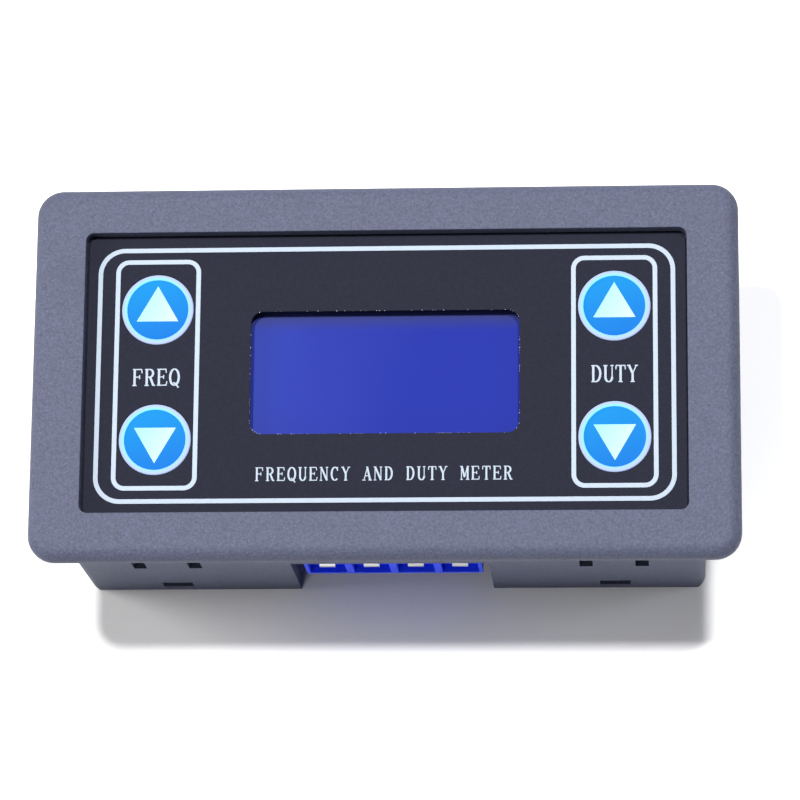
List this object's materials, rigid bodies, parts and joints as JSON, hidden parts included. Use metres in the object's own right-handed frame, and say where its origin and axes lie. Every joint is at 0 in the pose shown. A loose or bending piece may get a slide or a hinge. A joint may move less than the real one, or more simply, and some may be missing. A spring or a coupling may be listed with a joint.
{
  "type": "panel frequency counter",
  "caption": "Shallow rectangular panel meter with a wide bezel, a recessed printed overlay, a small display window, round membrane keys and a rear screw terminal.",
  "frame": {"origin": "middle of the rear rim's plane, with the meter lying on its back", "axes": "+X to the display's right, +Y to the display's top, +Z out of the display's face"},
  "size_m": [0.079, 0.0428, 0.026],
  "materials": {
    "case_plastic": "fine spark-eroded grain",
    "overlay_film": "matte printed film",
    "key_print": "matte printed film",
    "display_film": "satin film over a blue display",
    "display_glass": "clear float glass",
    "light_guide": "translucent white",
    "foam": "closed-cell foam",
    "tinned_metal": "bright tin plate",
    "circuit_board": "green solder mask",
    "terminal_plastic": "moulded, semi-gloss",
    "screw_steel": "zinc plate",
    "clamp_metal": "nickel plate",
    "switch_plastic": "moulded, satin",
    "switch_steel": "bright pressed steel",
    "chip_epoxy": "moulded epoxy",
    "can_steel": "bright nickel plate",
    "can_aluminium": "drawn aluminium",
    "chip_resistor": "glazed",
    "chip_ceramic": "fired ceramic"
  },
  "bodies": {
    "meter": {"front_case": "case_plastic", "front_overlay": "overlay_film", "lcd_gasket": "foam", "lcd_front_polariser": "display_film", "lcd_rear_polariser": "display_film", "lcd_front_glass": "display_glass", "lcd_rear_glass": "display_glass", "lcd_backlight": "light_guide", "lcd_pins": "tinned_metal", "circuit_board": "circuit_board", "terminal_housing": "terminal_plastic", "microcontroller": "chip_epoxy", "output_transistor": "chip_epoxy", "crystal": "can_steel", "electrolytic_capacitor": "can_aluminium", "voltage_regulator": "chip_epoxy", "reverse_diode": "chip_epoxy", "chip_resistors": "chip_resistor", "chip_capacitors": "chip_ceramic", "switch_base_freq_up": "switch_plastic", "switch_cover_freq_up": "switch_steel", "switch_dome_freq_up": "switch_steel", "switch_legs_freq_up": "tinned_metal", "switch_base_freq_down": "switch_plastic", "switch_cover_freq_down": "switch_steel", "switch_dome_freq_down": "switch_steel", "switch_legs_freq_down": "tinned_metal", "switch_base_duty_up": "switch_plastic", "switch_cover_duty_up": "switch_steel", "switch_dome_duty_up": "switch_steel", "switch_legs_duty_up": "tinned_metal", "switch_base_duty_down": "switch_plastic", "switch_cover_duty_down": "switch_steel", "switch_dome_duty_down": "switch_steel", "switch_legs_duty_down": "tinned_metal", "terminal_pin_1": "tinned_metal", "terminal_pin_2": "tinned_metal", "terminal_pin_3": "tinned_metal", "terminal_pin_4": "tinned_metal"},
    "key_freq_up": {"key_cap_freq_up": "key_print", "switch_stem_freq_up": "switch_plastic"},
    "key_freq_down": {"key_cap_freq_down": "key_print", "switch_stem_freq_down": "switch_plastic"},
    "key_duty_up": {"key_cap_duty_up": "key_print", "switch_stem_duty_up": "switch_plastic"},
    "key_duty_down": {"key_cap_duty_down": "key_print", "switch_stem_duty_down": "switch_plastic"},
    "screw_1": {"terminal_screw_1": "screw_steel"},
    "clamp_1": {"wire_clamp_1": "clamp_metal"},
    "screw_2": {"terminal_screw_2": "screw_steel"},
    "clamp_2": {"wire_clamp_2": "clamp_metal"},
    "screw_3": {"terminal_screw_3": "screw_steel"},
    "clamp_3": {"wire_clamp_3": "clamp_metal"},
    "screw_4": {"terminal_screw_4": "screw_steel"},
    "clamp_4": {"wire_clamp_4": "clamp_metal"},
    "latch_left": {"panel_latch_left": "case_plastic"},
    "latch_right": {"panel_latch_right": "case_plastic"}
  },
  "joints": [
    {"name": "freq_up_press", "type": "slide", "parent": "meter", "child": "key_freq_up", "axis": [0, 0, -1], "range_m": [0, 0.00025], "stiffness_N_per_m": 4000, "springref_m": -0.0001, "deforming": ["switch_dome_freq_up"]},
    {"name": "freq_down_press", "type": "slide", "parent": "meter", "child": "key_freq_down", "axis": [0, 0, -1], "range_m": [0, 0.00025], "stiffness_N_per_m": 4000, "springref_m": -0.0001, "deforming": ["switch_dome_freq_down"]},
    {"name": "duty_up_press", "type": "slide", "parent": "meter", "child": "key_duty_up", "axis": [0, 0, -1], "range_m": [0, 0.00025], "stiffness_N_per_m": 4000, "springref_m": -0.0001, "deforming": ["switch_dome_duty_up"]},
    {"name": "duty_down_press", "type": "slide", "parent": "meter", "child": "key_duty_down", "axis": [0, 0, -1], "range_m": [0, 0.00025], "stiffness_N_per_m": 4000, "springref_m": -0.0001, "deforming": ["switch_dome_duty_down"]},
    {"name": "screw_1_turn", "type": "hinge", "parent": "meter", "child": "screw_1", "pos_m": [-0.00762, -0.0156, 0.0042], "axis": [0, 0, 1], "range_deg": [-990, 990]},
    {"name": "clamp_1_lift", "type": "slide", "parent": "meter", "child": "clamp_1", "axis": [0, 0, -1], "range_m": [-0.00124, 0.00124]},
    {"name": "screw_2_turn", "type": "hinge", "parent": "meter", "child": "screw_2", "pos_m": [-0.00254, -0.0156, 0.0042], "axis": [0, 0, 1], "range_deg": [-990, 990]},
    {"name": "clamp_2_lift", "type": "slide", "parent": "meter", "child": "clamp_2", "axis": [0, 0, -1], "range_m": [-0.00124, 0.00124]},
    {"name": "screw_3_turn", "type": "hinge", "parent": "meter", "child": "screw_3", "pos_m": [0.00254, -0.0156, 0.0042], "axis": [0, 0, 1], "range_deg": [-990, 990]},
    {"name": "clamp_3_lift", "type": "slide", "parent": "meter", "child": "clamp_3", "axis": [0, 0, -1], "range_m": [-0.00124, 0.00124]},
    {"name": "screw_4_turn", "type": "hinge", "parent": "meter", "child": "screw_4", "pos_m": [0.00762, -0.0156, 0.0042], "axis": [0, 0, 1], "range_deg": [-990, 990]},
    {"name": "clamp_4_lift", "type": "slide", "parent": "meter", "child": "clamp_4", "axis": [0, 0, -1], "range_m": [-0.00124, 0.00124]},
    {"name": "latch_left_flex", "type": "hinge", "parent": "meter", "child": "latch_left", "pos_m": [-0.0349, 0, 0.005], "axis": [0, 1, 0], "range_deg": [0, 7], "stiffness_Nm_per_rad": 0.55},
    {"name": "latch_right_flex", "type": "hinge", "parent": "meter", "child": "latch_right", "pos_m": [0.0349, 0, 0.005], "axis": [0, -1, 0], "range_deg": [0, 7], "stiffness_Nm_per_rad": 0.55}
  ],
  "couplings": [
    {"joint": "screw_1_turn", "follows": "clamp_1_lift", "rad_per_m": 13963},
    {"joint": "screw_2_turn", "follows": "clamp_2_lift", "rad_per_m": 13963},
    {"joint": "screw_3_turn", "follows": "clamp_3_lift", "rad_per_m": 13963},
    {"joint": "screw_4_turn", "follows": "clamp_4_lift", "rad_per_m": 13963}
  ]
}
